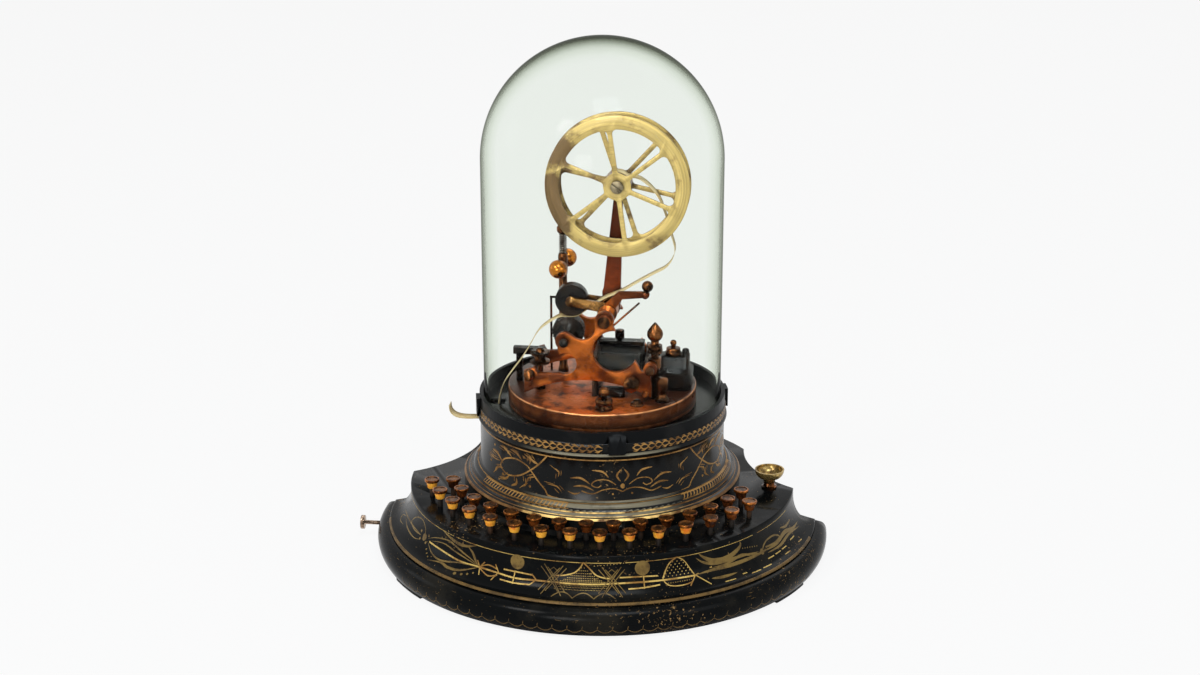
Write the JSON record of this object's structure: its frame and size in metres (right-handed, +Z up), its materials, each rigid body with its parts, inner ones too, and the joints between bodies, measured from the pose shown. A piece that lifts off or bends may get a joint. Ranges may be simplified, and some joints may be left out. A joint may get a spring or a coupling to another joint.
{
  "type": "stock ticker",
  "caption": "Stock ticker: fan-shaped keyboard base with two rows of keys, a drum, a glass dome and a tape-printing movement with a spoked reel.",
  "frame": {"origin": "on the drum's axis at table level, under the wire entry", "axes": "+Z up along the drum's axis, -Y towards the keyboard, +X to the right of someone at the keys"},
  "size_m": [0.3686, 0.334, 0.404],
  "materials": {
    "japanned": "black japan lacquer with gold line ornament",
    "board": "dark stained board",
    "black_iron": "satin black",
    "glass": "clear blown glass, faintly green",
    "bronze": "copper-coloured lacquered bronze, worn",
    "dark_bronze": "dark oxidised bronze",
    "reel_brass": "pale brushed brass with tarnish",
    "brass": "old polished brass",
    "key_brass": "bright amber brass with dark tops",
    "paper": "aged cream paper",
    "rubber": "hard black rubber",
    "steel": "dark steel",
    "winding": "black silk-covered winding"
  },
  "bodies": {
    "root": {"base_body": "japanned", "bottom_board": "board", "feet": "black_iron", "contact_strips": "brass", "drum": "japanned", "dome_ring": "black_iron", "bedplate": "bronze", "front_frame": "bronze", "back_frame": "bronze", "frame_pillars": "bronze", "reel_post": "bronze", "reel_axle": "brass", "paper_tape": "paper", "tape_guide": "brass", "magnet_coils": "winding", "magnet_cores": "steel", "adjusters": "dark_bronze", "insulator_blocks": "rubber", "binding_posts": "dark_bronze"},
    "dome": {"glass_dome": "glass"},
    "reel": {"reel_hub": "brass", "reel_discs": "reel_brass"},
    "type_wheels": {"type_wheels": "steel"},
    "press_lever": {"press_lever": "brass"},
    "press_roller": {"press_roller": "rubber"},
    "governor": {"governor": "brass", "governor_spring": "steel"},
    "armature": {"armature": "steel"},
    "switch_knob": {"switch_knob": "brass"},
    "side_pull": {"side_pull": "bronze"},
    "key_01": {"key_01": "key_brass"},
    "key_02": {"key_02": "key_brass"},
    "key_03": {"key_03": "key_brass"},
    "key_04": {"key_04": "key_brass"},
    "key_05": {"key_05": "key_brass"},
    "key_06": {"key_06": "key_brass"},
    "key_07": {"key_07": "key_brass"},
    "key_08": {"key_08": "key_brass"},
    "key_09": {"key_09": "key_brass"},
    "key_10": {"key_10": "key_brass"},
    "key_11": {"key_11": "key_brass"},
    "key_12": {"key_12": "key_brass"},
    "key_13": {"key_13": "key_brass"},
    "key_14": {"key_14": "key_brass"},
    "key_15": {"key_15": "key_brass"},
    "key_16": {"key_16": "key_brass"},
    "key_17": {"key_17": "key_brass"},
    "key_18": {"key_18": "key_brass"},
    "key_19": {"key_19": "key_brass"},
    "key_20": {"key_20": "key_brass"},
    "key_21": {"key_21": "key_brass"},
    "key_22": {"key_22": "key_brass"},
    "key_23": {"key_23": "key_brass"},
    "key_24": {"key_24": "key_brass"},
    "key_25": {"key_25": "key_brass"},
    "key_26": {"key_26": "key_brass"},
    "key_27": {"key_27": "key_brass"},
    "key_28": {"key_28": "key_brass"},
    "key_29": {"key_29": "key_brass"},
    "key_30": {"key_30": "key_brass"}
  },
  "joints": [
    {"name": "dome_lift", "type": "slide", "parent": "root", "child": "dome", "axis": [0, 0, 1], "range_m": [0, 0.29]},
    {"name": "reel_spin", "type": "hinge", "parent": "root", "child": "reel", "pos_m": [0.0134, -0.014, 0.2965], "axis": [0, 1, 0], "continuous": true},
    {"name": "type_wheel_spin", "type": "hinge", "parent": "root", "child": "type_wheels", "pos_m": [-0.024, -0.014, 0.1808], "axis": [0, 1, 0], "continuous": true},
    {"name": "press_lever_lift", "type": "hinge", "parent": "root", "child": "press_lever", "pos_m": [0.0062, -0.014, 0.198], "axis": [0, 1, 0], "range_deg": [0, 5], "stiffness_Nm_per_rad": 0.02, "springref_deg": -20.05},
    {"name": "press_roller_spin", "type": "hinge", "parent": "press_lever", "child": "press_roller", "pos_m": [-0.0216, -0.014, 0.2058], "axis": [0, 1, 0], "continuous": true},
    {"name": "governor_spin", "type": "hinge", "parent": "root", "child": "governor", "pos_m": [-0.0329, 0.0205, 0.223], "axis": [0, 0, 1], "continuous": true},
    {"name": "armature_swing", "type": "hinge", "parent": "root", "child": "armature", "pos_m": [0.0375, -0.00935, 0.1475], "axis": [0, -1, 0], "range_deg": [0, 4], "stiffness_Nm_per_rad": 0.02, "springref_deg": -20.05},
    {"name": "switch_turn", "type": "hinge", "parent": "root", "child": "switch_knob", "pos_m": [0.13122, -0.00458, 0.0644], "axis": [0, 0, 1], "range_deg": [-45, 45]},
    {"name": "side_pull_slide", "type": "slide", "parent": "root", "child": "side_pull", "axis": [-1, 0, 0], "range_m": [-0.008, 0]},
    {"name": "key_01_press", "type": "slide", "parent": "root", "child": "key_01", "axis": [0, 0, -1], "range_m": [0, 0.004], "stiffness_N_per_m": 120, "springref_m": -0.004},
    {"name": "key_02_press", "type": "slide", "parent": "root", "child": "key_02", "axis": [0, 0, -1], "range_m": [0, 0.004], "stiffness_N_per_m": 120, "springref_m": -0.004},
    {"name": "key_03_press", "type": "slide", "parent": "root", "child": "key_03", "axis": [0, 0, -1], "range_m": [0, 0.004], "stiffness_N_per_m": 120, "springref_m": -0.004},
    {"name": "key_04_press", "type": "slide", "parent": "root", "child": "key_04", "axis": [0, 0, -1], "range_m": [0, 0.004], "stiffness_N_per_m": 120, "springref_m": -0.004},
    {"name": "key_05_press", "type": "slide", "parent": "root", "child": "key_05", "axis": [0, 0, -1], "range_m": [0, 0.004], "stiffness_N_per_m": 120, "springref_m": -0.004},
    {"name": "key_06_press", "type": "slide", "parent": "root", "child": "key_06", "axis": [0, 0, -1], "range_m": [0, 0.004], "stiffness_N_per_m": 120, "springref_m": -0.004},
    {"name": "key_07_press", "type": "slide", "parent": "root", "child": "key_07", "axis": [0, 0, -1], "range_m": [0, 0.004], "stiffness_N_per_m": 120, "springref_m": -0.004},
    {"name": "key_08_press", "type": "slide", "parent": "root", "child": "key_08", "axis": [0, 0, -1], "range_m": [0, 0.004], "stiffness_N_per_m": 120, "springref_m": -0.004},
    {"name": "key_09_press", "type": "slide", "parent": "root", "child": "key_09", "axis": [0, 0, -1], "range_m": [0, 0.004], "stiffness_N_per_m": 120, "springref_m": -0.004},
    {"name": "key_10_press", "type": "slide", "parent": "root", "child": "key_10", "axis": [0, 0, -1], "range_m": [0, 0.004], "stiffness_N_per_m": 120, "springref_m": -0.004},
    {"name": "key_11_press", "type": "slide", "parent": "root", "child": "key_11", "axis": [0, 0, -1], "range_m": [0, 0.004], "stiffness_N_per_m": 120, "springref_m": -0.004},
    {"name": "key_12_press", "type": "slide", "parent": "root", "child": "key_12", "axis": [0, 0, -1], "range_m": [0, 0.004], "stiffness_N_per_m": 120, "springref_m": -0.004},
    {"name": "key_13_press", "type": "slide", "parent": "root", "child": "key_13", "axis": [0, 0, -1], "range_m": [0, 0.004], "stiffness_N_per_m": 120, "springref_m": -0.004},
    {"name": "key_14_press", "type": "slide", "parent": "root", "child": "key_14", "axis": [0, 0, -1], "range_m": [0, 0.004], "stiffness_N_per_m": 120, "springref_m": -0.004},
    {"name": "key_15_press", "type": "slide", "parent": "root", "child": "key_15", "axis": [0, 0, -1], "range_m": [0, 0.004], "stiffness_N_per_m": 120, "springref_m": -0.004},
    {"name": "key_16_press", "type": "slide", "parent": "root", "child": "key_16", "axis": [0, 0, -1], "range_m": [0, 0.004], "stiffness_N_per_m": 120, "springref_m": -0.004},
    {"name": "key_17_press", "type": "slide", "parent": "root", "child": "key_17", "axis": [0, 0, -1], "range_m": [0, 0.004], "stiffness_N_per_m": 120, "springref_m": -0.004},
    {"name": "key_18_press", "type": "slide", "parent": "root", "child": "key_18", "axis": [0, 0, -1], "range_m": [0, 0.004], "stiffness_N_per_m": 120, "springref_m": -0.004},
    {"name": "key_19_press", "type": "slide", "parent": "root", "child": "key_19", "axis": [0, 0, -1], "range_m": [0, 0.004], "stiffness_N_per_m": 120, "springref_m": -0.004},
    {"name": "key_20_press", "type": "slide", "parent": "root", "child": "key_20", "axis": [0, 0, -1], "range_m": [0, 0.004], "stiffness_N_per_m": 120, "springref_m": -0.004},
    {"name": "key_21_press", "type": "slide", "parent": "root", "child": "key_21", "axis": [0, 0, -1], "range_m": [0, 0.004], "stiffness_N_per_m": 120, "springref_m": -0.004},
    {"name": "key_22_press", "type": "slide", "parent": "root", "child": "key_22", "axis": [0, 0, -1], "range_m": [0, 0.004], "stiffness_N_per_m": 120, "springref_m": -0.004},
    {"name": "key_23_press", "type": "slide", "parent": "root", "child": "key_23", "axis": [0, 0, -1], "range_m": [0, 0.004], "stiffness_N_per_m": 120, "springref_m": -0.004},
    {"name": "key_24_press", "type": "slide", "parent": "root", "child": "key_24", "axis": [0, 0, -1], "range_m": [0, 0.004], "stiffness_N_per_m": 120, "springref_m": -0.004},
    {"name": "key_25_press", "type": "slide", "parent": "root", "child": "key_25", "axis": [0, 0, -1], "range_m": [0, 0.004], "stiffness_N_per_m": 120, "springref_m": -0.004},
    {"name": "key_26_press", "type": "slide", "parent": "root", "child": "key_26", "axis": [0, 0, -1], "range_m": [0, 0.004], "stiffness_N_per_m": 120, "springref_m": -0.004},
    {"name": "key_27_press", "type": "slide", "parent": "root", "child": "key_27", "axis": [0, 0, -1], "range_m": [0, 0.004], "stiffness_N_per_m": 120, "springref_m": -0.004},
    {"name": "key_28_press", "type": "slide", "parent": "root", "child": "key_28", "axis": [0, 0, -1], "range_m": [0, 0.004], "stiffness_N_per_m": 120, "springref_m": -0.004},
    {"name": "key_29_press", "type": "slide", "parent": "root", "child": "key_29", "axis": [0, 0, -1], "range_m": [0, 0.004], "stiffness_N_per_m": 120, "springref_m": -0.004},
    {"name": "key_30_press", "type": "slide", "parent": "root", "child": "key_30", "axis": [0, 0, -1], "range_m": [0, 0.004], "stiffness_N_per_m": 120, "springref_m": -0.004}
  ]
}
